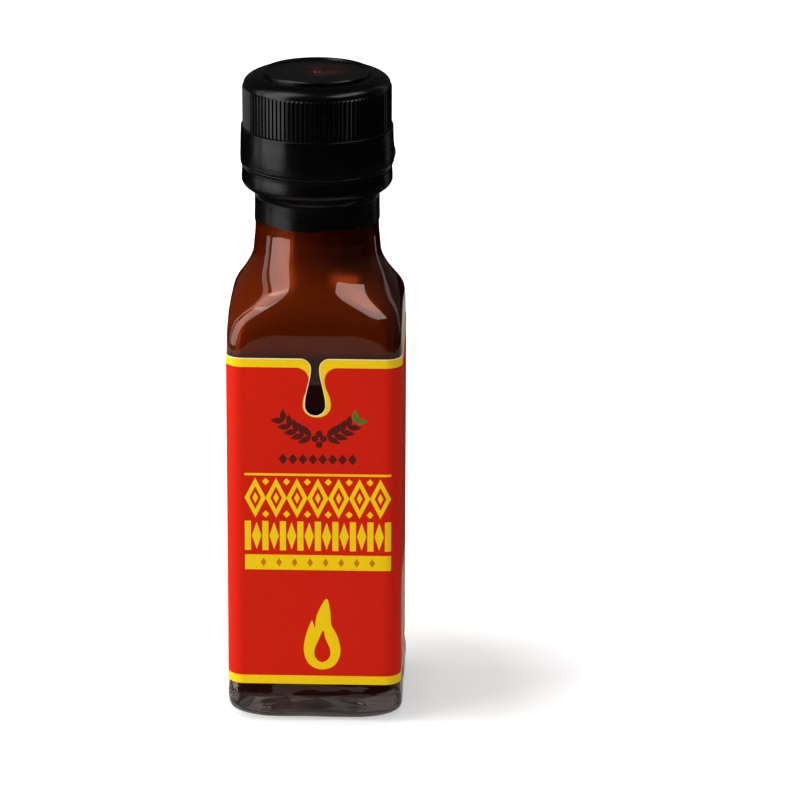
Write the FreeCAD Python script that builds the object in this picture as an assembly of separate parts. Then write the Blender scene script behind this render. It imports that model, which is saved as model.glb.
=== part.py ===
import FreeCAD, Part
import math
import os

# Square glass sauce bottle with a ribbed screw cap, a shrink band and a wrap-round label.
# Millimetres. The origin is at the middle of the base, +Z is up and -Y is the front.

V = FreeCAD.Vector

# Glass body: square with rounded uprights, on a thick base
body_width = 37.0
upright_radius = 3.5
wall = 2.4
base_thickness = 4.2
heel_radius = 4.5
heel_corner_radius = 7.5
heel_bulge = 0.4
heel_height = 7.4
inside_heel_radius = 3.4
punt_radius = 11.5
punt_depth = 0.9

# Shoulder and neck: the square draws in to a circle
shoulder_start = 82.5
shoulder_height = 20.5
neck_radius = 13.15
neck_flare = 0.3
neck_height = 34.1

# Sauce
fill_height = 111.0
fill_clearance = 0.05

# Screw cap
cap_clearance = 0.3
cap_height = 23.6
cap_top_thickness = 2.2
rim_radius = 15.9
waist_radius = 15.7
waist_height = 3.8
belt_radius = 16.1
belt_height = 8.2
belt_step = 0.6
rib_root_radius = 15.5
rib_depth = 0.25
rib_count = 100
rib_height = 8.75
rib_chamfer = 0.5
crown_edge_width = 3.5
disc_radius = 11.4
disc_height = 0.7
disc_rim_width = 0.8
dish_depth = 0.35
gate_radius = 1.3
gate_height = 0.2

# Shrink band over the cap's lower half and the top of the neck
film_thickness = 0.14
film_cone_drop = 2.3
film_above_shoulder = 5.7

# Paper label, its drip-shaped notch and the overlap of its ends
label_thickness = 0.14
label_bottom = 8.8
label_height = 73.5
notch_width = 1.7
notch_flare = 2.2
notch_drop_radius = 2.15
notch_depth = 12.55
notch_offset = 0.35
seam_overlap = 5.0
seam_offset = 6.0

# How finely the glass is drawn: control points per side, and how much they crowd at the corners
ring_steps = 24
ring_crowding = 0.7

# Shoulder levels: share of its height, of the sides' draw-in and of the corners' draw-in
shoulder_levels = [
    (0.00, 0.000, 0.000),
    (0.14, 0.000, 0.000),
    (0.28, 0.000, 0.050),
    (0.42, 0.025, 0.220),
    (0.56, 0.210, 0.530),
    (0.70, 0.600, 0.815),
    (0.84, 0.920, 0.955),
    (0.92, 0.985, 0.990),
    (1.00, 1.000, 1.000),
]

body_half = body_width / 2
neck_base = shoulder_start + shoulder_height
finish_top = neck_base + neck_height
cap_top = finish_top + cap_top_thickness
cap_bottom = cap_top + disc_height - cap_height
belt_bottom = cap_bottom + waist_height
rib_bottom = belt_bottom + belt_height
rib_top = rib_bottom + rib_height


def diagonal(half, corner):
    return math.sqrt(2) * (half - corner) + corner


def corner_for(half, reach):
    return (math.sqrt(2) * half - reach) / (math.sqrt(2) - 1)


def outline_reach(half, corner, angle):
    """Distance from the axis to a rounded square, angle within 45 degrees of a side's middle."""
    if half * math.tan(abs(angle)) <= half - corner:
        return half / math.cos(angle)
    along = (half - corner) * (math.cos(angle) + math.sin(abs(angle)))
    return along + math.sqrt(along ** 2 - 2 * (half - corner) ** 2 + corner ** 2)


def ring(z, half, corner):
    """Control points round one level, crowded towards the corners."""
    points = []
    for side in range(4):
        for step in range(ring_steps):
            u = 2 * step / ring_steps - 1
            angle = math.radians(45) * (u + ring_crowding * math.sin(math.pi * u) / math.pi)
            reach = outline_reach(half, corner, angle)
            turn = angle + side * math.pi / 2
            points.append(V(reach * math.cos(turn), reach * math.sin(turn), z))
    return points


def skinned_solid(levels):
    """Solid whose side is one smooth surface over rings at (z, half width, corner radius)."""
    columns = [list(column) for column in zip(*[ring(*level) for level in levels])]
    round_knots = list(range(len(columns) + 1))
    up_knots = list(range(len(levels) - 2))
    up_mults = [4] + [1] * (len(levels) - 4) + [4]
    surface = Part.BSplineSurface()
    surface.buildFromPolesMultsKnots(
        columns, [1] * len(round_knots), up_mults, round_knots, up_knots, True, False, 3, 3)
    side = surface.toShape()
    ends = [Part.Face(Part.Wire([edge])) for edge in side.Edges if edge.isClosed()]
    shell = Part.Shell([side] + ends)
    shell.sewShape()
    return Part.Solid(shell)


def bottle_levels(inset, foot, foot_radius, bulge, top):
    """Levels of the glass, or of its inside when inset is the wall."""
    half = body_half - inset
    corner = max(upright_radius - inset, 1.2)
    foot_corner = heel_corner_radius - inset
    neck = neck_radius + neck_flare - inset
    levels = [
        (foot, half + bulge - foot_radius, foot_corner),
        (foot, half + bulge - 0.5 * foot_radius, foot_corner),
        (foot + 0.4 * foot_radius, half + bulge, (foot_corner + corner) / 2),
        (foot + 0.9 * foot_radius, half + bulge, corner),
        (heel_height + foot - 1.5, half + bulge, corner),
        (heel_height + foot, half, corner),
        (heel_height + foot + 2, half, corner),
        (heel_height + foot + 6, half, corner),
        (shoulder_start / 2, half, corner),
        (shoulder_start - 6, half, corner),
        (shoulder_start - 3, half, corner),
    ]
    for up, side_in, corner_in in shoulder_levels:
        level_half = half + (neck - half) * side_in
        reach = diagonal(half, corner) + (neck - diagonal(half, corner)) * corner_in
        levels.append((shoulder_start + shoulder_height * up, level_half, corner_for(level_half, reach)))
    upper_neck = neck - neck_flare
    levels.append((neck_base + 1.5, upper_neck + neck_flare / 3, upper_neck + neck_flare / 3))
    for z in (neck_base + 3, neck_base + 4.5, neck_base + 6, top):
        levels.append((z, upper_neck, upper_neck))
    return levels


def cavity(inset, top):
    return skinned_solid(bottle_levels(inset, base_thickness + inset - wall, inside_heel_radius, 0, top))


def punt():
    sphere_radius = (punt_radius ** 2 + punt_depth ** 2) / (2 * punt_depth)
    return Part.makeSphere(sphere_radius, V(0, 0, punt_depth - sphere_radius))


def bottle():
    outside = skinned_solid(bottle_levels(0, 0, heel_radius, heel_bulge, finish_top))
    return outside.cut(cavity(wall, finish_top + 1)).cut(punt())


def sauce():
    brimful = cavity(wall + fill_clearance, finish_top + 1)
    room = Part.makeBox(body_width, body_width, fill_height, V(-body_half, -body_half, 0))
    return brimful.common(room)


def turned(points):
    """Solid of revolution about Z from a closed outline of (radius, height)."""
    corners = [V(radius, 0, height) for radius, height in points]
    face = Part.Face(Part.makePolygon(corners + corners[:1]))
    return face.revolve(V(0, 0, 0), V(0, 0, 1), 360)


def cap_side():
    """Outline of the cap's smooth lower part, from the rim up to the ribs."""
    return [
        (rim_radius, cap_bottom),
        (waist_radius, belt_bottom - belt_step),
        (belt_radius, belt_bottom),
        (belt_radius - 0.1, rib_bottom - 0.2),
        (rib_root_radius, rib_bottom),
    ]


def cap_crown():
    """Softly rounded top edge with the raised, dished disc on it."""
    edge_top = V(rib_root_radius - crown_edge_width, 0, cap_top)
    edge_foot = V(rib_root_radius, 0, rib_top)
    rounding = Part.BezierCurve()
    rounding.setPoles([
        edge_foot,
        edge_foot + V(0, 0, 0.55 * (cap_top - rib_top)),
        edge_top + V(0.45 * crown_edge_width, 0, 0),
        edge_top,
    ])
    sides = Part.makePolygon([edge_top, V(0, 0, cap_top), V(0, 0, rib_top), edge_foot])
    outline = Part.Wire([rounding.toShape()] + sides.Edges)
    crown = Part.Face(outline).revolve(V(0, 0, 0), V(0, 0, 1), 360)
    floor_z = cap_top + disc_height - dish_depth
    disc = turned([
        (0, cap_top - 0.5),
        (disc_radius, cap_top - 0.5),
        (disc_radius, cap_top + disc_height - 0.2),
        (disc_radius - 0.2, cap_top + disc_height),
        (disc_radius - disc_rim_width, cap_top + disc_height),
        (disc_radius - disc_rim_width - 0.4, floor_z),
        (gate_radius, floor_z),
        (gate_radius - 0.2, floor_z + gate_height),
        (0, floor_z + gate_height),
    ])
    return crown.fuse(disc)


def rib_band():
    """Fine upright ribs, chamfered where they end under the crown."""
    tip = rib_root_radius + rib_depth
    corners = []
    for i in range(rib_count):
        for share, radius in ((0.0, rib_root_radius - 0.1), (0.25, tip), (0.55, tip)):
            turn = 2 * math.pi * (i + share) / rib_count
            corners.append(V(radius * math.cos(turn), radius * math.sin(turn), rib_bottom))
    star = Part.Face(Part.makePolygon(corners + corners[:1])).extrude(V(0, 0, rib_height))
    sleeve = turned([
        (0, rib_bottom),
        (tip, rib_bottom),
        (tip, rib_top - rib_chamfer),
        (tip - rib_chamfer, rib_top),
        (0, rib_top),
    ])
    return star.common(sleeve)


def cap():
    lower = turned([(0, cap_bottom)] + cap_side() + [(0, rib_bottom)])
    core = Part.makeCylinder(rib_root_radius, rib_height, V(0, 0, rib_bottom))
    inside = Part.makeCylinder(neck_radius + cap_clearance, finish_top - cap_bottom, V(0, 0, cap_bottom))
    return lower.fuse([core, rib_band(), cap_crown()]).cut(inside).removeSplitter()


def film():
    """Thin sleeve shrunk on the cap's lower half, drawn in under its rim to the neck."""
    neck_top = cap_bottom - film_cone_drop
    skin_side = [
        (neck_radius, neck_base + film_above_shoulder),
        (neck_radius, neck_top),
        (rim_radius, cap_bottom),
    ] + cap_side()[1:-1]
    outside = [(radius + film_thickness, height) for radius, height in skin_side]
    outside[2] = (rim_radius + film_thickness, cap_bottom + 0.1)
    outside.insert(2, (rim_radius - 0.3, cap_bottom - film_cone_drop / 4))
    return turned(skin_side + outside[::-1])


def body_prism(offset, bottom, height):
    """The square body grown by offset, between two levels."""
    half = body_half + offset
    corner = upright_radius + offset
    blank = Part.makeBox(2 * half, 2 * half, height, V(-half, -half, bottom))
    uprights = [edge for edge in blank.Edges if edge.BoundBox.ZLength > height / 2]
    return blank.makeFillet(corner, uprights)


def notch():
    """Drip hanging from the label's top edge: a flared neck and a round drop."""
    top = label_bottom + label_height
    bend = top - notch_flare
    drop_centre = top - notch_depth + notch_drop_radius
    half = notch_width / 2
    outer = half + notch_flare
    soft = notch_flare * (1 - math.sqrt(0.5))

    def at(x, z):
        return V(x + notch_offset, -body_width, z)

    def half_drip(side):
        flare = Part.Arc(at(side * outer, top), at(side * (half + soft), top - soft), at(side * half, bend))
        drop_side = at(side * notch_drop_radius, drop_centre)
        swell = Part.BezierCurve()
        swell.setPoles([
            at(side * half, bend),
            at(side * half, bend - 2.6),
            at(side * notch_drop_radius, drop_centre + 2.9),
            drop_side,
        ])
        return [flare.toShape(), swell.toShape()]

    bowl = Part.Arc(
        at(-notch_drop_radius, drop_centre),
        at(0, drop_centre - notch_drop_radius),
        at(notch_drop_radius, drop_centre))
    lid = [
        Part.makeLine(at(-outer, top), at(-outer, top + 1)),
        Part.makeLine(at(-outer, top + 1), at(outer, top + 1)),
        Part.makeLine(at(outer, top + 1), at(outer, top)),
    ]
    edges = half_drip(-1) + [bowl.toShape()] + half_drip(1) + lid
    outline = Part.Wire(Part.sortEdges(edges)[0])
    return Part.Face(outline).extrude(V(0, body_width, 0))


def label():
    """Paper wrapped once round the body, its ends overlapping on the back."""
    sleeve = body_prism(label_thickness, label_bottom, label_height)
    sleeve = sleeve.cut(body_prism(0, label_bottom - 1, label_height + 2))
    flap = Part.makeBox(
        seam_overlap, label_thickness, label_height,
        V(-seam_offset - seam_overlap / 2, body_half + label_thickness, label_bottom))
    return sleeve.fuse(flap).cut(notch()).removeSplitter()


os.makedirs("parts", exist_ok=True)
for name, shape in (
    ("bottle", bottle()),
    ("sauce", sauce()),
    ("cap", cap()),
    ("film_band", film()),
    ("label", label()),
):
    shape.exportStep("parts/" + name + ".step")
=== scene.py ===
import bpy
import math
import numpy as np
from mathutils import Matrix, Vector, geometry, noise


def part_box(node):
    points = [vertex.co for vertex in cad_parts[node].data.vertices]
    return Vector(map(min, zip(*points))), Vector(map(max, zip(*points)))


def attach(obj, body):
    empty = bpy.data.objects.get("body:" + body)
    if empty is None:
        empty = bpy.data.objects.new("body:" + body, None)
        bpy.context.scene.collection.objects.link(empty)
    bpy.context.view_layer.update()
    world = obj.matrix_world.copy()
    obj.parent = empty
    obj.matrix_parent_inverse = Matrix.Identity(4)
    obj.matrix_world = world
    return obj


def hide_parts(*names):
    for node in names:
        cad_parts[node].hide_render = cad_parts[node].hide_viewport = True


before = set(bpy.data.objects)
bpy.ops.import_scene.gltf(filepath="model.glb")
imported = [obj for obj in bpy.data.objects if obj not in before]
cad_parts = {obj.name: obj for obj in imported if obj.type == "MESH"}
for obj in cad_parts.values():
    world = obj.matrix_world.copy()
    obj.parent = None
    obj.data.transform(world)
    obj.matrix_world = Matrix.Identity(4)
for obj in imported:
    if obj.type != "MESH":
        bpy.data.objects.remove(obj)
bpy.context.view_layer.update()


# ---------------------------------------------------------------------------
# Glass bottle. Clear flint glass, pressed and then blown in a mould: a square body with rounded
# uprights on a thick base, hollow underneath, and a smooth shoulder drawn in to a round neck that
# goes up into the cap. Sizes are in millimetres, from the middle of the base upwards.
# ---------------------------------------------------------------------------
MM = 0.001
BODY_HALF = 18.5
UPRIGHT_RADIUS = 3.5
WALL = 2.4
BASE_THICKNESS = 4.2
HEEL_RADIUS = 4.5
HEEL_CORNER_RADIUS = 7.5
HEEL_BULGE = 0.4
HEEL_HEIGHT = 7.4
DENT_DEPTH = 0.75
DENT_PITCH = 6.5
DENT_TOP = 8.2
DENT_FADE = 1.5
RIPPLE_TOP = 9.5
RIPPLE_FULL = 6.5
INSIDE_HEEL_RADIUS = 3.4
PUNT_RADIUS = 11.5
PUNT_DEPTH = 0.9
SHOULDER_START = 82.5
SHOULDER_HEIGHT = 20.5
NECK_RADIUS = 13.15
NECK_FLARE = 0.3
SHOULDER_LEVELS = (
    (0.00, 0.000, 0.000), (0.14, 0.000, 0.000), (0.28, 0.000, 0.050),
    (0.42, 0.025, 0.220), (0.56, 0.210, 0.530), (0.70, 0.600, 0.815),
    (0.84, 0.920, 0.955), (0.92, 0.985, 0.990), (1.00, 1.000, 1.000),
)
SIDE_STEPS = 24
CROWDING = 0.7
GLASS_MESH = (288, 150)


def square_reach(half, corner, angle):
    """Distance from the axis to a rounded square, angle measured from a side's middle."""
    if half * math.tan(abs(angle)) <= half - corner:
        return half / math.cos(angle)
    along = (half - corner) * (math.cos(angle) + math.sin(abs(angle)))
    return along + math.sqrt(along ** 2 - 2 * (half - corner) ** 2 + corner ** 2)


def glass_ring(z, half, corner):
    """Control points round one level of the glass, crowded towards its uprights."""
    ring = []
    for side in range(4):
        for step in range(SIDE_STEPS):
            u = 2 * step / SIDE_STEPS - 1
            angle = math.radians(45) * (u + CROWDING * math.sin(math.pi * u) / math.pi)
            reach = square_reach(half, corner, angle)
            turn = angle + side * math.pi / 2
            ring.append((reach * math.cos(turn), reach * math.sin(turn), z))
    return ring


def glass_levels(inset, foot, foot_radius, bulge, top):
    """Levels of the glass's outside, or of a surface inset from it."""
    half = BODY_HALF - inset
    corner = max(UPRIGHT_RADIUS - inset, 1.2)
    foot_corner = HEEL_CORNER_RADIUS - inset
    neck = NECK_RADIUS + NECK_FLARE - inset
    full = math.sqrt(2) * (half - corner) + corner
    levels = [
        (foot, half + bulge - foot_radius, foot_corner),
        (foot, half + bulge - 0.5 * foot_radius, foot_corner),
        (foot + 0.4 * foot_radius, half + bulge, (foot_corner + corner) / 2),
        (foot + 0.9 * foot_radius, half + bulge, corner),
        (HEEL_HEIGHT + foot - 1.5, half + bulge, corner),
        (HEEL_HEIGHT + foot, half, corner),
        (HEEL_HEIGHT + foot + 2, half, corner),
        (HEEL_HEIGHT + foot + 6, half, corner),
        (SHOULDER_START / 2, half, corner),
        (SHOULDER_START - 6, half, corner),
        (SHOULDER_START - 3, half, corner),
    ]
    for up, side_in, corner_in in SHOULDER_LEVELS:
        level_half = half + (neck - half) * side_in
        reach = full + (neck - full) * corner_in
        level_corner = (math.sqrt(2) * level_half - reach) / (math.sqrt(2) - 1)
        levels.append((SHOULDER_START + SHOULDER_HEIGHT * up, level_half, level_corner))
    neck_base = SHOULDER_START + SHOULDER_HEIGHT
    upper = neck - NECK_FLARE
    levels.append((neck_base + 1.5, upper + NECK_FLARE / 3, upper + NECK_FLARE / 3))
    levels += [(z, upper, upper) for z in (neck_base + 3, neck_base + 4.5, neck_base + 6, top)]
    return levels


def cubic_weights(knots, count, at):
    """Weights of each cubic B-spline control point at the given parameters."""
    rows = [np.where((at >= knots[i]) & (at < knots[i + 1]), 1.0, 0.0) for i in range(len(knots) - 1)]
    for degree in (1, 2, 3):
        following = []
        for i in range(len(rows) - 1):
            left = knots[i + degree] - knots[i]
            right = knots[i + degree + 1] - knots[i + 1]
            part = np.zeros_like(at)
            if left > 0:
                part += (at - knots[i]) / left * rows[i]
            if right > 0:
                part += (knots[i + degree + 1] - at) / right * rows[i + 1]
            following.append(part)
        rows = following
    return np.array(rows[:count]).T


def glass_surface(levels, round_samples, up_samples):
    """Points on the smooth surface that the levels control, as rings from the foot up."""
    control = np.array([glass_ring(*level) for level in levels])
    count = control.shape[1]
    closed = np.concatenate([control, control[:, :3]], axis=1)
    turns = 3 + np.arange(round_samples) * count / round_samples
    around = cubic_weights(np.arange(count + 7), count + 3, turns)
    spans = len(levels) - 3
    knots = np.concatenate([[0] * 3, np.arange(spans + 1), [spans] * 3]).astype(float)
    heights = np.linspace(0, spans - 1e-9, up_samples)
    up = cubic_weights(knots, len(levels), heights)
    return np.einsum("hl,lcx,rc->hrx", up, closed, around)


def ring_mesh(name, rings, close_first=False, close_last=False):
    """Mesh of quads over a stack of closed rings, its ends closed on a middle point if asked."""
    rings = np.asarray(rings, float)
    rows, around = rings.shape[:2]
    points = [tuple(p * MM) for p in rings.reshape(-1, 3)]
    faces = []
    for r in range(rows - 1):
        for i in range(around):
            j = (i + 1) % around
            faces.append((r * around + i, r * around + j, (r + 1) * around + j, (r + 1) * around + i))
    if close_first:
        points.append(tuple(rings[0].mean(0) * MM))
        faces += [((i + 1) % around, i, len(points) - 1) for i in range(around)]
    if close_last:
        points.append(tuple(rings[-1].mean(0) * MM))
        last = (rows - 1) * around
        faces += [(last + i, last + (i + 1) % around, len(points) - 1) for i in range(around)]
    mesh = bpy.data.meshes.new(name)
    mesh.from_pydata(points, [], faces)
    mesh.polygons.foreach_set("use_smooth", [True] * len(mesh.polygons))
    mesh.validate()
    piece = bpy.data.objects.new(name, mesh)
    bpy.context.scene.collection.objects.link(piece)
    return piece


def new_material(name):
    """A new material, with its nodes and links."""
    material = bpy.data.materials.new(name)
    material.use_nodes = True
    return material, material.node_tree.nodes, material.node_tree.links


def speckle(nodes, links, scale, detail, low, high):
    """Noise in the object's own space, mapped to a range."""
    where = nodes.new("ShaderNodeTexCoord")
    noise = nodes.new("ShaderNodeTexNoise")
    noise.inputs["Scale"].default_value = scale
    noise.inputs["Detail"].default_value = detail
    links.new(where.outputs["Object"], noise.inputs["Vector"])
    spread = nodes.new("ShaderNodeMapRange")
    spread.inputs["From Min"].default_value = 0.3
    spread.inputs["From Max"].default_value = 0.7
    spread.inputs["To Min"].default_value = low
    spread.inputs["To Max"].default_value = high
    links.new(noise.outputs["Fac"], spread.inputs["Value"])
    return spread.outputs["Result"]


def relief(nodes, links, height, strength, tone_and_painted_shade):
    """Fine surface relief from a height, for a shader's Normal."""
    bump = nodes.new("ShaderNodeBump")
    bump.inputs["Strength"].default_value = strength
    bump.inputs["Distance"].default_value = tone_and_painted_shade
    links.new(height, bump.inputs["Height"])
    return bump.outputs["Normal"]


def flint_glass():
    """Clear glass, finely rippled at the heel, that lets the lamps through to what is in it."""
    material, nodes, links = new_material("flint_glass")
    glass = nodes["Principled BSDF"]
    glass.inputs["Base Color"].default_value = (0.93, 0.95, 0.94, 1)
    glass.inputs["Roughness"].default_value = 0.0
    glass.inputs["IOR"].default_value = 1.51
    glass.inputs["Transmission Weight"].default_value = 1.0
    glass.inputs["Specular Tint"].default_value = (1.0, 0.84, 0.76, 1)
    where = nodes.new("ShaderNodeTexCoord")
    split = nodes.new("ShaderNodeSeparateXYZ")
    links.new(where.outputs["Object"], split.inputs["Vector"])
    heel = nodes.new("ShaderNodeMapRange")
    heel.inputs["From Min"].default_value = RIPPLE_TOP * MM
    heel.inputs["From Max"].default_value = RIPPLE_FULL * MM
    heel.inputs["To Min"].default_value = 0.015
    heel.inputs["To Max"].default_value = 1.0
    links.new(split.outputs["Z"], heel.inputs["Value"])
    ripple = nodes.new("ShaderNodeMath")
    ripple.operation = "MULTIPLY"
    links.new(speckle(nodes, links, 90, 1, 0, 1), ripple.inputs[0])
    links.new(heel.outputs["Result"], ripple.inputs[1])
    links.new(relief(nodes, links, ripple.outputs["Value"], 1.0, 0.0009), glass.inputs["Normal"])
    lamps = nodes.new("ShaderNodeLightPath")
    clear = nodes.new("ShaderNodeBsdfTransparent")
    clear.inputs["Color"].default_value = (0.9, 0.92, 0.91, 1)
    either = nodes.new("ShaderNodeMixShader")
    links.new(lamps.outputs["Is Shadow Ray"], either.inputs["Fac"])
    links.new(glass.outputs["BSDF"], either.inputs[1])
    links.new(clear.outputs["BSDF"], either.inputs[2])
    links.new(either.outputs["Shader"], nodes["Material Output"].inputs["Surface"])
    return material


def clip(value):
    return min(max(value, 0), 1)


def heel_dents(rings):
    """Shallow uneven dents round the heel, dying out towards its foot and its top."""
    for ring in rings:
        z = ring[0, 2]
        share = clip(z / DENT_FADE) * clip((DENT_TOP - z) / DENT_FADE)
        if share:
            for point in ring:
                hollow = clip(noise.noise(Vector(point) / DENT_PITCH) + 0.2)
                point[:2] *= 1 - DENT_DEPTH * share * hollow / math.hypot(point[0], point[1])
    return rings


def punt(rim):
    """Rings under the base, from its middle out to the rim: a shallow part of a ball."""
    ball = (PUNT_RADIUS ** 2 + PUNT_DEPTH ** 2) / (2 * PUNT_DEPTH)
    rings = []
    for share in np.linspace(0.02, 1, 24)[:-1]:
        ring = rim * (share, share, 1)
        radius = np.hypot(ring[:, 0], ring[:, 1])
        hollow = np.sqrt(np.maximum(ball ** 2 - radius ** 2, 0)) - (ball - PUNT_DEPTH)
        ring[:, 2] = np.maximum(hollow, 0)
        rings.append(ring)
    return rings


def shrunk_rings(rim, first, last):
    """Flat rings between two shares of a rim's size."""
    return [rim * (share, share, 1) for share in np.linspace(first, last, 8)]


def glass_bottle():
    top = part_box("bottle")[1].z / MM
    outside = glass_surface(glass_levels(0, 0, HEEL_RADIUS, HEEL_BULGE, top), *GLASS_MESH)
    outside = heel_dents(outside)
    bore = glass_surface(glass_levels(WALL, BASE_THICKNESS, INSIDE_HEEL_RADIUS, 0, top), *GLASS_MESH)
    rings = [punt(outside[0]), outside, bore[::-1], shrunk_rings(bore[0], 0.98, 0.02)]
    return ring_mesh("glass_bottle", np.concatenate(rings), close_first=True, close_last=True)


bottle = glass_bottle()
bottle.data.materials.append(flint_glass())
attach(bottle, "root")
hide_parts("bottle")


# ---------------------------------------------------------------------------
# Sauce. A thick, smooth chilli sauce with fine pulp in it, filled up into the neck. It wets the
# glass all over, so its piece reaches a little way into the wall.
# ---------------------------------------------------------------------------
SAUCE_INTO_WALL = 0.12
SAUCE_MESH = (192, 110)
SHADE_TOP = 112
# Colour stops as shares of SHADE_TOP. The first, below about 81 mm, is painted shade: the sauce behind the
# label is made darker where the paper keeps light out.
SAUCE_SHADES = (
    (0.725, (0.036, 0.0090, 0.0045)), (0.75, (0.130, 0.0140, 0.0004)),
    (0.84, (0.130, 0.0140, 0.0004)), (0.92, (0.064, 0.0052, 0.0002)), (1.0, (0.100, 0.0120, 0.0005)),
)


def chilli_sauce():
    """Dark red sauce with fine pulp in it, its colour changing a little up the shoulder, with painted shade
    behind the label where the paper keeps light out.
    """
    material, nodes, links = new_material("chilli_sauce")
    sauce = nodes["Principled BSDF"]
    where = nodes.new("ShaderNodeTexCoord")
    split = nodes.new("ShaderNodeSeparateXYZ")
    links.new(where.outputs["Object"], split.inputs["Vector"])
    height = nodes.new("ShaderNodeMapRange")
    height.inputs["From Max"].default_value = SHADE_TOP * MM
    links.new(split.outputs["Z"], height.inputs["Value"])
    # Colour by height: painted shade behind the label, and changing tones of the sauce above it.
    tone_and_painted_shade = nodes.new("ShaderNodeValToRGB")
    stops = tone_and_painted_shade.color_ramp.elements
    stops[0].color = (*SAUCE_SHADES[0][1], 1)
    stops[1].color = (*SAUCE_SHADES[-1][1], 1)
    for at, shade in SAUCE_SHADES[:-1]:
        stops.new(at).color = (*shade, 1)
    links.new(height.outputs["Result"], tone_and_painted_shade.inputs["Fac"])
    pulp = nodes.new("ShaderNodeMix")
    pulp.data_type = "RGBA"
    pulp.blend_type = "MULTIPLY"
    pulp.inputs["B"].default_value = (0.72, 0.62, 0.5, 1)
    links.new(speckle(nodes, links, 260, 6, 0, 0.45), pulp.inputs["Factor"])
    links.new(tone_and_painted_shade.outputs["Color"], pulp.inputs["A"])
    links.new(pulp.outputs["Result"], sauce.inputs["Base Color"])
    links.new(speckle(nodes, links, 140, 3, 0.16, 0.24), sauce.inputs["Roughness"])
    sauce.inputs["IOR"].default_value = 1.5
    sauce.inputs["Specular IOR Level"].default_value = 0.9
    sauce.inputs["Specular Tint"].default_value = (1.0, 0.14, 0.02, 1)
    return material


def sauce_fill():
    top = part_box("sauce")[1].z / MM
    foot = BASE_THICKNESS - SAUCE_INTO_WALL
    levels = glass_levels(WALL - SAUCE_INTO_WALL, foot, INSIDE_HEEL_RADIUS, 0, top)
    side = glass_surface(levels, *SAUCE_MESH)
    rings = [shrunk_rings(side[0], 0.02, 0.98), side, shrunk_rings(side[-1], 0.98, 0.02)]
    return ring_mesh("sauce_fill", np.concatenate(rings), close_first=True, close_last=True)


sauce = sauce_fill()
sauce.data.materials.append(chilli_sauce())
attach(sauce, "root")
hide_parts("sauce")


# ---------------------------------------------------------------------------
# Screw cap. One black polypropylene moulding, finely ribbed for grip, with a softly rounded top
# edge and a raised, dished disc that carries the gate mark.
# ---------------------------------------------------------------------------
PATCH_AT = (1.5, 1.0, 139.6)
PATCH_RADIUS = 6.2
PATCH_CORE = 1.0


def black_moulding(name, colour, low, high, grain, shine):
    """Black plastic between two roughnesses, with a fine grain."""
    material, nodes, links = new_material(name)
    plastic = nodes["Principled BSDF"]
    ramp = nodes.new("ShaderNodeValToRGB")
    ramp.color_ramp.elements[0].color = (*[c * 0.8 for c in colour], 1)
    ramp.color_ramp.elements[1].color = (*[c * 1.25 for c in colour], 1)
    links.new(speckle(nodes, links, 60, 4, 0, 1), ramp.inputs["Fac"])
    links.new(ramp.outputs["Color"], plastic.inputs["Base Color"])
    links.new(speckle(nodes, links, 220, 4, low, high), plastic.inputs["Roughness"])
    plastic.inputs["Specular IOR Level"].default_value = shine
    pores = speckle(nodes, links, 1400, 3, 0, 1)
    links.new(relief(nodes, links, pores, 0.15, grain), plastic.inputs["Normal"])
    return material


def brown_disc_patch(material, colour):
    """A faint, patchy brown tint in the middle of the cap's disc."""
    nodes, links = material.node_tree.nodes, material.node_tree.links
    plastic = nodes["Principled BSDF"]
    where = nodes.new("ShaderNodeTexCoord")
    near = nodes.new("ShaderNodeVectorMath")
    near.operation = "DISTANCE"
    near.inputs[1].default_value = [c * MM for c in PATCH_AT]
    links.new(where.outputs["Object"], near.inputs[0])
    fade = nodes.new("ShaderNodeMapRange")
    fade.inputs["From Min"].default_value = PATCH_RADIUS * MM
    fade.inputs["From Max"].default_value = PATCH_CORE * MM
    links.new(near.outputs["Value"], fade.inputs["Value"])
    patchy = nodes.new("ShaderNodeMath")
    patchy.operation = "MULTIPLY"
    links.new(fade.outputs["Result"], patchy.inputs[0])
    links.new(speckle(nodes, links, 230, 3, 0, 1), patchy.inputs[1])
    blend = nodes.new("ShaderNodeMix")
    blend.data_type = "RGBA"
    blend.inputs["B"].default_value = (*colour, 1)
    links.new(patchy.outputs["Value"], blend.inputs["Factor"])
    links.new(plastic.inputs["Base Color"].links[0].from_socket, blend.inputs["A"])
    links.new(blend.outputs["Result"], plastic.inputs["Base Color"])


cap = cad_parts["cap"]
cap_plastic = black_moulding("cap_plastic", (0.0010, 0.0009, 0.0010), 0.20, 0.27, 0.00002, 0.28)
brown_disc_patch(cap_plastic, (0.075, 0.016, 0.006))
cap.data.materials.clear()
cap.data.materials.append(cap_plastic)


# ---------------------------------------------------------------------------
# Shrink band. A sleeve of thin black film shrunk over the cap's lower half and the top of the
# neck: it draws in under the cap's rim, creases there, and ends in an uneven cut edge.
# ---------------------------------------------------------------------------
FILM_THICKNESS = 0.12
FILM_MESH = (256, 90)
FILM_SIDE = (
    (13.30, 108.60), (13.24, 111.20), (13.22, 113.60), (13.60, 114.30), (14.60, 115.00),
    (15.55, 115.75), (15.98, 116.60), (15.97, 117.60), (15.88, 119.00), (15.90, 119.80),
    (16.20, 120.60), (16.24, 122.00), (16.20, 124.50), (16.12, 127.00), (16.10, 128.20),
)


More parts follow.
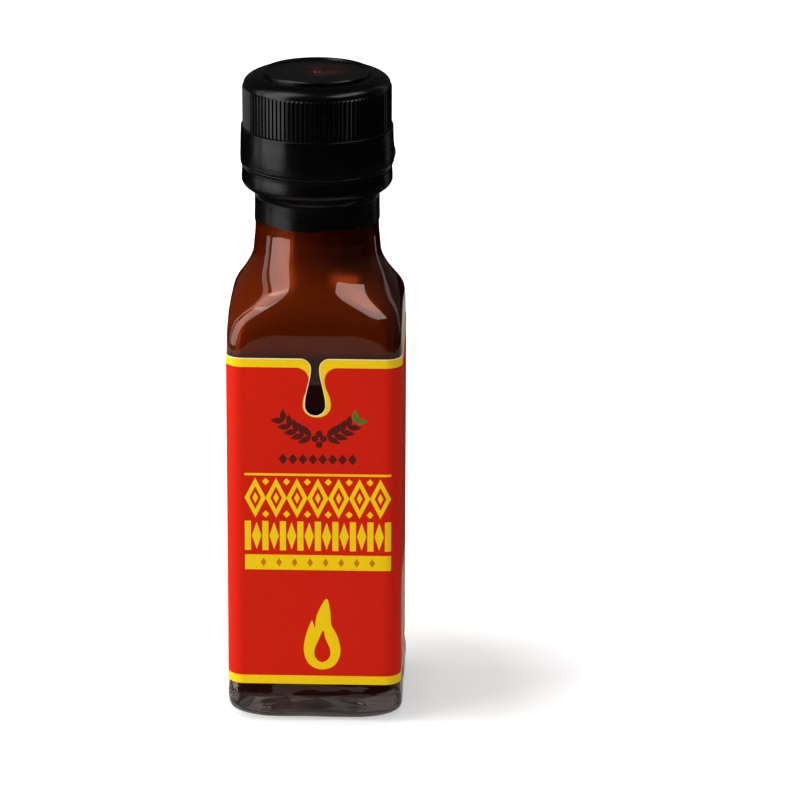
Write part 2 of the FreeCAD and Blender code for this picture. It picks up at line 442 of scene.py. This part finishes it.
def band_ring(radius, z, around, part):
    """One level of the band, with its creases and its uneven lower edge."""
    angle = np.linspace(0, 2 * np.pi, around, endpoint=False)
    front = angle + np.pi / 2
    low = np.clip(1 - part * 4, 0, 1)
    drop = low * (0.18 * np.cos(2 * front) + 0.22 * np.sin(5 * angle + 1.1) + 0.1 * np.sin(13 * angle) - 0.3)
    on_neck = math.exp(-((z - 114.2) / 1.3) ** 2)
    crease = on_neck * (0.10 * np.sin(3 * angle + 0.6) + 0.07 * np.sin(8 * angle + 2.0))
    on_belt = math.exp(-((z - 121.0) / 1.6) ** 2)
    ripple = on_belt * (0.05 * np.sin(4 * angle + 1.9) + 0.03 * np.sin(11 * angle))
    loose = 0.4 * np.exp(-(np.sin((angle + 0.03) / 2) / 0.025) ** 2) * math.exp(-((z - 122.6) / 1.3) ** 2)
    reach = radius + crease * 0.6 + ripple * 0.6 + loose
    return np.stack([reach * np.cos(angle), reach * np.sin(angle), z + drop + crease], axis=1)


def shrink_band():
    around, along = FILM_MESH
    radii = [r for r, _ in FILM_SIDE]
    heights = [z for _, z in FILM_SIDE]
    steps = np.arange(len(FILM_SIDE))
    outer = [
        band_ring(np.interp(a, steps, radii), np.interp(a, steps, heights), around, a / steps[-1])
        for a in np.linspace(0, steps[-1], along)
    ]
    inner = []
    for ring in reversed(outer):
        radius = np.hypot(ring[:, 0], ring[:, 1])
        share = ((radius - FILM_THICKNESS) / radius)[:, None]
        inner.append(np.concatenate([ring[:, :2] * share, ring[:, 2:]], axis=1))
    return ring_mesh("shrink_band", outer + inner + [outer[0]])


band = shrink_band()
band.data.materials.append(black_moulding("shrink_film", (0.0008, 0.0007, 0.0008), 0.20, 0.30, 0.00003, 0.2))
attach(band, "root")
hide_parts("film_band")


# ---------------------------------------------------------------------------
# Label. Semi-matt printed paper, wrapped once round the body with its ends overlapping at the
# back. Its top edge is die cut with a hanging drip, and every cut edge shows the pale paper.
# ---------------------------------------------------------------------------
LABEL_OUT = 0.14
LABEL_IN = -0.03
LABEL_FOOT = 8.8
LABEL_TOP = 82.3
SEAM_FROM = -67.5
SEAM_OVERLAP = 5.0
SEAM_RAMP = 0.5
SEAM_PRESS = 1.1
DRIP_SHIFT = 0.35
DRIP_FALL = 10.4
BAND_TOP = 1.95
BAND_FOOT = 1.95
CUT_WIDTH = 0.15
PRINT_MIDDLE = 0.9
PRINT_WIDTH = 31.1
GARLAND_AT = 64.8
LINE_AT = 60.0
RULE_AT = 56.25
LOZENGES_AT = 51.25
BARS_FOOT = 39.4
BANNER_FOOT = 35.0
FLAME_AT = 1.8

FACE = 2 * (BODY_HALF - UPRIGHT_RADIUS) + UPRIGHT_RADIUS * math.pi / 2
SEAM_TO = SEAM_FROM + 4 * FACE + SEAM_OVERLAP

INKS = {
    "label_red": (0.590, 0.0125, 0.0030),
    "label_yellow": (0.840, 0.560, 0.0045),
    "label_maroon": (0.085, 0.0110, 0.0080),
    "label_green": (0.060, 0.170, 0.0200),
    "label_orange": (0.560, 0.170, 0.0040),
    "label_cream": (0.620, 0.500, 0.330),
    "label_paper": (0.850, 0.720, 0.580),
}


def round_the_body(s, off):
    """Plan position at a distance round the body from the middle of its front."""
    face = math.floor((s + FACE / 2) / FACE)
    t = s - face * FACE
    flat = BODY_HALF - UPRIGHT_RADIUS
    past = max(abs(t) - flat, 0) / UPRIGHT_RADIUS
    reach = UPRIGHT_RADIUS + off
    x = math.copysign(min(abs(t), flat) + reach * math.sin(past), t)
    y = -(flat + reach * math.cos(past))
    turn = face * math.pi / 2
    return x * math.cos(turn) - y * math.sin(turn), x * math.sin(turn) + y * math.cos(turn)


def bezier(poles, t):
    """Point on the curve of a few poles."""
    poles = [Vector(p) for p in poles]
    while len(poles) > 1:
        poles = [a.lerp(b, t) for a, b in zip(poles, poles[1:])]
    return tuple(poles[0])


def drip(top, half, flare, radius, fall, shift):
    """Outline of a hanging drip, from its top left round to its top right."""
    centre = LABEL_TOP - DRIP_FALL
    bend = top - flare
    left = []
    for i in range(9):
        a = math.radians(90 * i / 8)
        left.append((-(half + flare) + flare * math.sin(a), bend + flare * math.cos(a)))
    stem = [(-half, bend), (-half, bend - 2.6), (-radius, centre + 2.9), (-radius, centre)]
    for i in range(1, 15):
        left.append(bezier(stem, i / 14))
    for i in range(1, 13):
        a = math.radians(90 * i / 12)
        left.append((-radius * math.cos(a), centre - fall * math.sin(a)))
    right = [(-x, z) for x, z in reversed(left[:-1])]
    return [(x + shift, z) for x, z in left + right]


def smooth_loop(points, steps):
    """Closed rounded outline through given points."""
    loop = []
    count = len(points)
    for i in range(count):
        p = [Vector(points[(i + k) % count]) for k in (-1, 0, 1, 2)]
        for step in range(steps):
            t = step / steps
            loop.append(tuple(0.5 * (
                2 * p[1] + (p[2] - p[0]) * t + (2 * p[0] - 5 * p[1] + 4 * p[2] - p[3]) * t ** 2
                + (3 * p[1] - p[0] - 3 * p[2] + p[3]) * t ** 3)))
    return loop


def block(s, z, width, height):
    """Upright rectangle on the middle of its foot."""
    return [(s - width / 2, z), (s + width / 2, z), (s + width / 2, z + height), (s - width / 2, z + height)]


def lozenge(s, z, width, height):
    return [(s - width / 2, z), (s, z - height / 2), (s + width / 2, z), (s, z + height / 2)]


def leaf(s, z, length, width, degrees):
    """Pointed leaf growing from a point in a direction."""
    a = math.radians(degrees)
    side = [(length * t, width / 2 * math.sin(math.pi * t ** 0.8)) for t in np.linspace(0, 1, 9)]
    loop = side + [(x, -y) for x, y in reversed(side[1:-1])]
    return [(s + x * math.cos(a) - y * math.sin(a), z + x * math.sin(a) + y * math.cos(a)) for x, y in loop]


def disc(s, z, radius):
    turns = np.linspace(0, 2 * math.pi, 17)[:-1]
    return [(s + radius * math.cos(a), z + radius * math.sin(a)) for a in turns]


def garland(s, z):
    """A shallow hanging spray of leaves with berries in its middle and a green tip."""
    shapes = []
    for side in (-1, 1):
        for i in range(5):
            t = 0.20 + 0.17 * i
            slope = math.degrees(math.atan(1.15 * t))
            at = (s + side * 8.6 * t, z + 4.7 * t ** 2)
            for lean in (42, -40):
                grow = slope + lean
                ink = "label_green" if side == 1 and i == 4 else "label_maroon"
                shapes.append((ink, leaf(*at, 3.2 - 0.12 * i, 1.35, grow if side == 1 else 180 - grow)))
    for ds, dz in ((-0.9, -0.2), (0.9, -0.2), (0, 0.9), (0, -1.5)):
        shapes.append(("label_maroon", disc(s + ds, z + dz, 0.75)))
    return shapes


def front_print():
    """Generic print for the front: spray, lozenge line, two bold rows, a banner and a flame."""
    shapes = garland(PRINT_MIDDLE + 0.3, GARLAND_AT)
    for i in range(8):
        shapes.append(("label_maroon", lozenge(PRINT_MIDDLE - 7.35 + 2.1 * i, LINE_AT, 1.95, 2.4)))
    shapes.append(("label_yellow", block(PRINT_MIDDLE, RULE_AT, PRINT_WIDTH, 0.5)))
    for i in range(7):
        s = PRINT_MIDDLE + (i - 3) * 4.43
        shapes += [
            ("label_yellow", lozenge(s, LOZENGES_AT, 4.5, 8.9)),
            ("label_red", lozenge(s, LOZENGES_AT, 2.5, 5.2)),
            ("label_yellow", lozenge(s, LOZENGES_AT, 1.2, 2.5)),
        ]
        if i < 6:
            for z in (47.6, 54.9):
                shapes.append(("label_yellow", lozenge(s + 2.215, z, 1.5, 1.6)))
    for i in range(9):
        s = PRINT_MIDDLE + (i - 4) * 3.725
        shapes.append(("label_yellow", block(s, BARS_FOOT, 1.3, 6.6)))
        if i < 8:
            shapes.append(("label_yellow", lozenge(s + 1.862, BARS_FOOT + 3.3, 2.0, 6.2)))
    shapes.append(("label_yellow", block(PRINT_MIDDLE, BANNER_FOOT, PRINT_WIDTH, 3.4)))
    for i in range(8):
        dot = lozenge(PRINT_MIDDLE - 11.6 + 3.31 * i, BANNER_FOOT + 1.7, 1.25, 2.0)
        shapes.append(("label_orange", dot))
    flame = [(0, 12.2), (2.7, 13.3), (3.9, 16.4), (3.2, 20.0), (1.9, 22.6), (1.7, 25.6), (0.9, 28.5),
             (-1.1, 24.9), (-1.6, 21.9), (-2.3, 23.4), (-3.7, 19.2), (-3.9, 16.0), (-2.7, 13.3)]
    heart = [(0, 13.9), (1.5, 14.9), (1.7, 16.8), (0.7, 19.3), (0.2, 21.2), (-0.9, 18.8),
             (-1.7, 16.6), (-1.4, 14.8)]
    shapes.append(("label_yellow", smooth_loop([(s + FLAME_AT, z) for s, z in flame], 5)))
    shapes.append(("label_red", smooth_loop([(s + FLAME_AT, z) for s, z in heart], 5)))
    return shapes


def side_print():
    """Plain cream panels with short bars for small print, one on each side."""
    shapes = []
    for s, z, height in ((FACE, 13.5, 17.0), (-FACE, 20.0, 50.0)):
        shapes.append(("label_cream", block(s, z, 24.0, height)))
        rows = int((height - 2.5) / 2.2)
        for row in range(rows):
            width = (21.0, 18.5, 20.0, 14.0)[row % 4]
            bar = block(s - (21.0 - width) / 2, z + height - 2.6 - 2.2 * row, width, 0.8)
            shapes.append(("label_maroon", bar))
    return shapes


def label_print():
    """Everything printed on the blank, later shapes over earlier ones."""
    long = SEAM_TO - SEAM_FROM + 2
    middle = (SEAM_FROM + SEAM_TO) / 2
    shapes = [
        ("label_yellow", block(middle, LABEL_FOOT - 1, long, BAND_FOOT + 1)),
        ("label_yellow", block(middle, LABEL_TOP - BAND_TOP, long, BAND_TOP + 1)),
        ("label_yellow", drip(LABEL_TOP - BAND_TOP, 1.65, 2.7, 2.95, 2.55, DRIP_SHIFT + 0.35)),
        ("label_paper", block(middle, LABEL_TOP - CUT_WIDTH, long, 1)),
    ]
    shapes.append(("label_paper", drip(LABEL_TOP, 0.85 + CUT_WIDTH, 2.2, 2.15 + CUT_WIDTH, 2.3, DRIP_SHIFT)))
    return shapes + front_print() + side_print()


def inside(loop, at):
    """Whether each point lies in a closed outline."""
    loop = np.array(loop)
    result = np.zeros(len(at), bool)
    for (x0, y0), (x1, y1) in zip(loop, np.roll(loop, -1, axis=0)):
        if y0 != y1:
            crosses = (y0 > at[:, 1]) != (y1 > at[:, 1])
            result ^= crosses & (at[:, 0] < (x1 - x0) * (at[:, 1] - y0) / (y1 - y0) + x0)
    return result


def seam_rise(s):
    """How far the glued end stands off the body, pressed a little into the end beneath it."""
    return LABEL_OUT * clip((s - (SEAM_TO - SEAM_OVERLAP - SEAM_RAMP)) / SEAM_RAMP)


def label_lines(blank, shapes):
    """Every line in the flat label: its cut, its print, and the folds round the uprights."""
    points, edges = [], []

    def draw(loop, closed=True):
        first = len(points)
        points.extend(Vector(p) for p in loop)
        last = len(loop) if closed else len(loop) - 1
        edges.extend((first + i, first + (i + 1) % len(loop)) for i in range(last))

    draw(blank)
    for _, loop in shapes:
        loop = np.array(loop)
        loop[:, 0] = np.clip(loop[:, 0], SEAM_FROM, SEAM_TO)
        loop[:, 1] = np.clip(loop[:, 1], LABEL_FOOT, LABEL_TOP)
        draw([tuple(p) for p in loop])
    for corner in range(-2, 3):
        for i in range(11):
            s = (corner + 0.5) * FACE + (i / 10 - 0.5) * UPRIGHT_RADIUS * math.pi / 2
            if SEAM_FROM < s < SEAM_TO:
                draw([(s, LABEL_FOOT), (s, LABEL_TOP)], closed=False)
    for s in (SEAM_TO - SEAM_OVERLAP - SEAM_RAMP, SEAM_TO - SEAM_OVERLAP):
        draw([(s, LABEL_FOOT), (s, LABEL_TOP)], closed=False)
    return points, edges


def flat_label(blank, shapes):
    """The label laid flat: points, triangles, and the number of each triangle's ink."""
    points, edges = label_lines(blank, shapes)
    flat, _, triangles, _, _, _ = geometry.delaunay_2d_cdt(points, edges, [], 0, 1e-5)
    flat = np.array([tuple(p) for p in flat])
    triangles = np.array([tuple(t) for t in triangles])
    middles = flat[triangles].mean(1)
    kept = inside(blank, middles)
    triangles, middles = triangles[kept], middles[kept]
    inks = list(INKS)
    ink = np.zeros(len(triangles), int)
    for name, loop in shapes:
        ink[inside(loop, middles)] = inks.index(name)
    used = np.unique(triangles)
    renumber = {old: new for new, old in enumerate(used)}
    faces = [tuple(renumber[v] for v in t) for t in triangles]
    return flat[used], faces, list(ink)


def paper_label():
    cut = drip(LABEL_TOP, 0.85, 2.2, 2.15, 2.15, DRIP_SHIFT)
    blank = [(SEAM_FROM, LABEL_FOOT), (SEAM_TO, LABEL_FOOT), (SEAM_TO, LABEL_TOP)]
    blank += cut[::-1] + [(SEAM_FROM, LABEL_TOP)]
    flat, faces, ink = flat_label(blank, label_print())
    count = len(flat)
    outer = [(*round_the_body(s, LABEL_OUT + seam_rise(s)), z) for s, z in flat]
    inner = [(*round_the_body(s, LABEL_IN + seam_rise(s) * SEAM_PRESS), z) for s, z in flat]
    directed = {(a, b) for face in faces for a, b in zip(face, face[1:] + face[:1])}
    walls = [(b, a, a + count, b + count) for a, b in directed if (b, a) not in directed]
    back = [tuple(v + count for v in reversed(face)) for face in faces]
    mesh = bpy.data.meshes.new("paper_label")
    mesh.from_pydata([tuple(c * MM for c in p) for p in outer + inner], [], faces + back + walls)
    paper = list(INKS).index("label_paper")
    mesh.polygons.foreach_set("material_index", ink + [paper] * (len(back) + len(walls)))
    mesh.polygons.foreach_set("use_smooth", [True] * len(mesh.polygons))
    mesh.set_sharp_from_angle(angle=math.radians(40))
    piece = bpy.data.objects.new("paper_label", mesh)
    bpy.context.scene.collection.objects.link(piece)
    return piece


def printed_paper(name, colour):
    """Semi-matt ink on paper, very slightly mottled."""
    material, nodes, links = new_material(name)
    paper = nodes["Principled BSDF"]
    ramp = nodes.new("ShaderNodeValToRGB")
    ramp.color_ramp.elements[0].color = (*[c * 0.975 for c in colour], 1)
    ramp.color_ramp.elements[1].color = (*[min(c * 1.025, 1) for c in colour], 1)
    links.new(speckle(nodes, links, 900, 5, 0, 1), ramp.inputs["Fac"])
    links.new(ramp.outputs["Color"], paper.inputs["Base Color"])
    links.new(speckle(nodes, links, 500, 3, 0.42, 0.55), paper.inputs["Roughness"])
    paper.inputs["Specular IOR Level"].default_value = 0.06
    fibres = speckle(nodes, links, 700, 4, 0, 1)
    links.new(relief(nodes, links, fibres, 0.1, 0.00003), paper.inputs["Normal"])
    return material


label = paper_label()
for name, colour in INKS.items():
    label.data.materials.append(printed_paper(name, colour))
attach(label, "root")
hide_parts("label")


# ---------------------------------------------------------------------------
# Table, lamps and camera. A white table with soft lamps at the left, a strip behind at the right,
# and a lamp high at the right that only reflections show. Dark cloth, which only reflections and
# glass see too, stands round them. Sizes are in metres here.
# ---------------------------------------------------------------------------
TABLE_HALF = 6
TABLE_WHITE = (0.8, 0.8, 0.8, 1)
TABLE_PAINTED_SHADE = (0.055, 0.016, 0.010, 1)


def staged_sheet(name, points, faces, material):
    """A piece of the stage that isn't part of the bottle."""
    mesh = bpy.data.meshes.new(name)
    mesh.from_pydata(points, [], faces)
    sheet = bpy.data.objects.new(name, mesh)
    sheet.data.materials.append(material)
    bpy.context.scene.collection.objects.link(sheet)
    return sheet


def rays_that_see(nodes, links):
    """1 for rays that look at the backdrop directly, in a reflection or through glass."""
    path = nodes.new("ShaderNodeLightPath")
    either = nodes.new("ShaderNodeMath")
    either.operation = "MAXIMUM"
    links.new(path.outputs["Is Camera Ray"], either.inputs[0])
    links.new(path.outputs["Is Glossy Ray"], either.inputs[1])
    any_of = nodes.new("ShaderNodeMath")
    any_of.operation = "MAXIMUM"
    links.new(either.outputs["Value"], any_of.inputs[0])
    links.new(path.outputs["Is Transmission Ray"], any_of.inputs[1])
    return any_of.outputs["Value"]


def table_white():
    """White table, lifted to pure white further out, with painted shade, dark brown, near the bottle where
    glass and reflections see it.
    """
    material, nodes, links = new_material("table_white")
    white = nodes["Principled BSDF"]
    white.inputs["Roughness"].default_value = 0.9
    white.inputs["Specular IOR Level"].default_value = 0.0
    where = nodes.new("ShaderNodeTexCoord")
    far = nodes.new("ShaderNodeVectorMath")
    far.operation = "LENGTH"
    links.new(where.outputs["Object"], far.inputs[0])

    def by_distance(near, beyond, low, high):
        fade = nodes.new("ShaderNodeMapRange")
        fade.inputs["From Min"].default_value = near
        fade.inputs["From Max"].default_value = beyond
        fade.inputs["To Min"].default_value = low
        fade.inputs["To Max"].default_value = high
        links.new(far.outputs["Value"], fade.inputs["Value"])
        return fade.outputs["Result"]

    path = nodes.new("ShaderNodeLightPath")
    # Painted shade: close to the bottle the table turns dark brown for rays through the glass, and partly
    # for reflected rays, standing in for the shadow under the bottle tinted by the sauce.
    painted_shade = nodes.new("ShaderNodeMix")
    painted_shade.data_type = "RGBA"
    painted_shade.inputs["A"].default_value = TABLE_PAINTED_SHADE
    painted_shade.inputs["B"].default_value = TABLE_WHITE
    links.new(by_distance(0.09, 0.24, 0, 1), painted_shade.inputs["Factor"])
    tone = nodes.new("ShaderNodeMix")
    tone.data_type = "RGBA"
    tone.inputs["A"].default_value = TABLE_WHITE
    shaded = nodes.new("ShaderNodeMath")
    shaded.operation = "MULTIPLY_ADD"
    shaded.inputs[1].default_value = 0.55
    links.new(path.outputs["Is Glossy Ray"], shaded.inputs[0])
    links.new(path.outputs["Is Transmission Ray"], shaded.inputs[2])
    links.new(shaded.outputs["Value"], tone.inputs["Factor"])
    links.new(painted_shade.outputs["Result"], tone.inputs["B"])
    links.new(tone.outputs["Result"], white.inputs["Base Color"])
    links.new(tone.outputs["Result"], white.inputs["Emission Color"])
    lift = nodes.new("ShaderNodeMath")
    lift.operation = "MULTIPLY"
    links.new(by_distance(0.042, 0.095, 0.43, 1.2), lift.inputs[0])
    links.new(rays_that_see(nodes, links), lift.inputs[1])
    links.new(lift.outputs["Value"], white.inputs["Emission Strength"])
    return material


table_corners = [(x * TABLE_HALF, y * TABLE_HALF, 0) for x, y in ((-1, -1), (1, -1), (1, 1), (-1, 1))]
staged_sheet("table", table_corners, [(0, 1, 2, 3)], table_white())

CLOTH_SIDES = 60
CLOTH_LIFT = 0.0005
ROOM_RADIUS = 0.74
ROOM_HEIGHT = 0.85


def cloth_ring(radius, height):
    turns = [2 * math.pi * i / CLOTH_SIDES for i in range(CLOTH_SIDES)]
    return [(radius * math.sin(a), -radius * math.cos(a), height) for a in turns]


def dark_cloth(name, rings, shade, roof=False):
    """Grey cloth between two rings, that only reflections and glass see."""
    material, nodes, links = new_material("dark_cloth")
    nodes["Principled BSDF"].inputs["Base Color"].default_value = (shade, shade, shade, 1)
    nodes["Principled BSDF"].inputs["Specular IOR Level"].default_value = 0.0
    n = CLOTH_SIDES
    faces = [(i, (i + 1) % n, n + (i + 1) % n, n + i) for i in range(n)]
    if roof:
        faces.append(tuple(range(n, 2 * n)))
    cloth = staged_sheet(name, rings[0] + rings[1], faces, material)
    cloth.visible_camera = False
    cloth.visible_diffuse = False
    cloth.visible_shadow = False


room = cloth_ring(ROOM_RADIUS, CLOTH_LIFT), cloth_ring(ROOM_RADIUS, ROOM_HEIGHT)
dark_cloth("dark_room", room, 0.05, roof=True)
for near, beyond, shade in ((0.08, 0.25, 0.02), (0.25, 0.315, 0.40), (0.315, ROOM_RADIUS, 0.0)):
    dark_cloth("dark_mat", (cloth_ring(near, CLOTH_LIFT), cloth_ring(beyond, CLOTH_LIFT)), shade)


def soft_lamp(name, azimuth, distance, height, size, radiance, aim_height):
    """A rectangular soft lamp of even radiance, azimuth measured from the front to the right."""
    turn = math.radians(azimuth)
    lamp = bpy.data.lights.new(name, "AREA")
    lamp.shape = "RECTANGLE"
    lamp.size, lamp.size_y = size
    lamp.energy = radiance * math.pi * size[0] * size[1]
    holder = bpy.data.objects.new(name, lamp)
    place = Vector((distance * math.sin(turn), -distance * math.cos(turn), height))
    holder.location = place
    aim = place - Vector((0, 0, aim_height))
    holder.rotation_euler = aim.to_track_quat("Z", "Y").to_euler()
    holder.visible_camera = False
    bpy.context.scene.collection.objects.link(holder)
    return holder


soft_lamp("key_left", -67, 0.42, 0.36, (0.30, 0.72), 3.6, 0.36)
soft_lamp("key_side", -98, 0.42, 0.36, (0.07, 0.72), 1.8, 0.36)
gleam = soft_lamp("high_right", 66, 0.25, 0.46, (0.32, 0.15), 4.0, 0.09)
gleam.visible_diffuse = False
soft_lamp("key_over", -72, 0.30, 0.72, (0.34, 0.26), 3.2, 0.05)
soft_lamp("edge_right", 133, 0.45, 0.25, (0.04, 0.5), 0.7, 0.25)
core = soft_lamp("key_core", -79, 0.60, 0.50, (0.16, 0.16), 9.0, 0.05)
core.visible_glossy = False
core.visible_transmission = False

world = bpy.data.worlds.new("studio")
world.use_nodes = True
bpy.context.scene.world = world
sky = world.node_tree.nodes["Background"]
sky.inputs["Color"].default_value = (1, 1, 1, 1)
level = world.node_tree.nodes.new("ShaderNodeMapRange")
level.inputs["To Min"].default_value = 0.52
level.inputs["To Max"].default_value = 1.0
world.node_tree.links.new(rays_that_see(world.node_tree.nodes, world.node_tree.links), level.inputs["Value"])
world.node_tree.links.new(level.outputs["Result"], sky.inputs["Strength"])

CAMERA_TURN = 2.757
CAMERA_DISTANCE = 0.8536
CAMERA_HEIGHT = 0.3512
CAMERA_PAN = -1.568
CAMERA_TILT = 18.411
CAMERA_ROLL = 0.273
CAMERA_LENS = 188.2

lens = bpy.data.cameras.new("camera")
lens.lens = CAMERA_LENS
lens.sensor_width = 36
camera = bpy.data.objects.new("camera", lens)
turn = math.radians(CAMERA_TURN)
camera.location = (CAMERA_DISTANCE * math.sin(turn), -CAMERA_DISTANCE * math.cos(turn), CAMERA_HEIGHT)
camera.rotation_mode = "QUATERNION"
camera.rotation_quaternion = (
    Matrix.Rotation(-math.radians(CAMERA_PAN), 3, "Z")
    @ Matrix.Rotation(math.radians(90 - CAMERA_TILT), 3, "X")
    @ Matrix.Rotation(math.radians(CAMERA_ROLL), 3, "Z")
).to_quaternion()
bpy.context.scene.collection.objects.link(camera)
bpy.context.scene.camera = camera
bpy.context.scene.view_settings.view_transform = "Standard"
